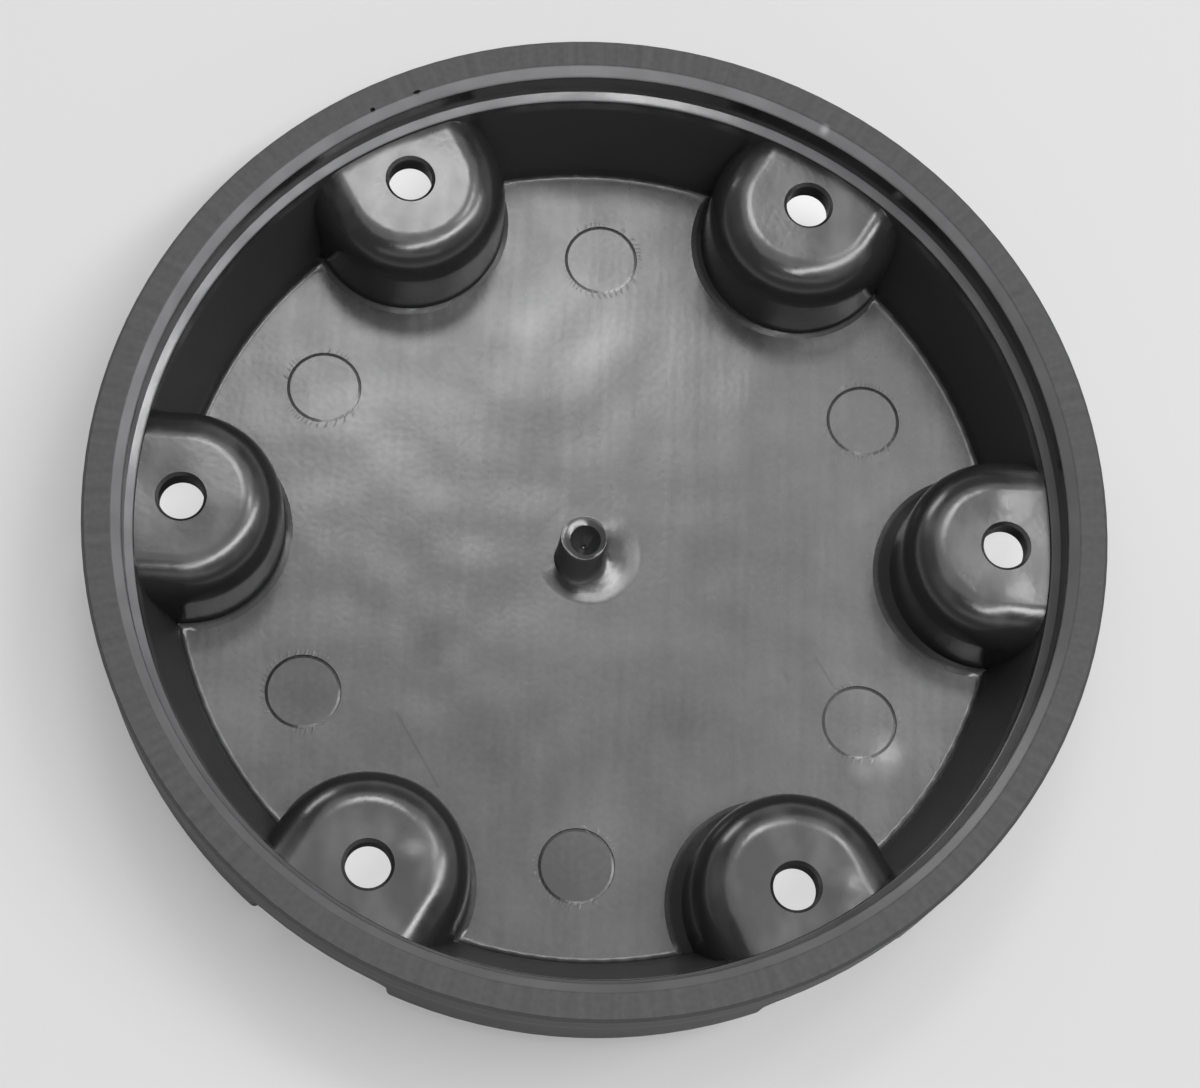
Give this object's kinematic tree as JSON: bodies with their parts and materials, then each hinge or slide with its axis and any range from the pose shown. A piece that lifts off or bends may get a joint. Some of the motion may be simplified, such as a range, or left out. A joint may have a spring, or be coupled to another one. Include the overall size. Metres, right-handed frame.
{
  "type": "wheel center cap",
  "caption": "Round screw-on wheel center cap, a black moulding with a stepped rim, a flat front face and hollow screw turrets around the inside wall.",
  "frame": {"origin": "middle of the flat front face, which the cap lies on", "axes": "+Z along the cap's axis from the front face to the open wheel side, +X through one screw hole"},
  "size_m": [0.124, 0.124, 0.0225],
  "materials": {
    "black_plastic": "black moulded plastic, satin, with flow marks and light scratches on the floor"
  },
  "bodies": {
    "root": {"wheel_center_cap": "black_plastic"}
  },
  "joints": []
}
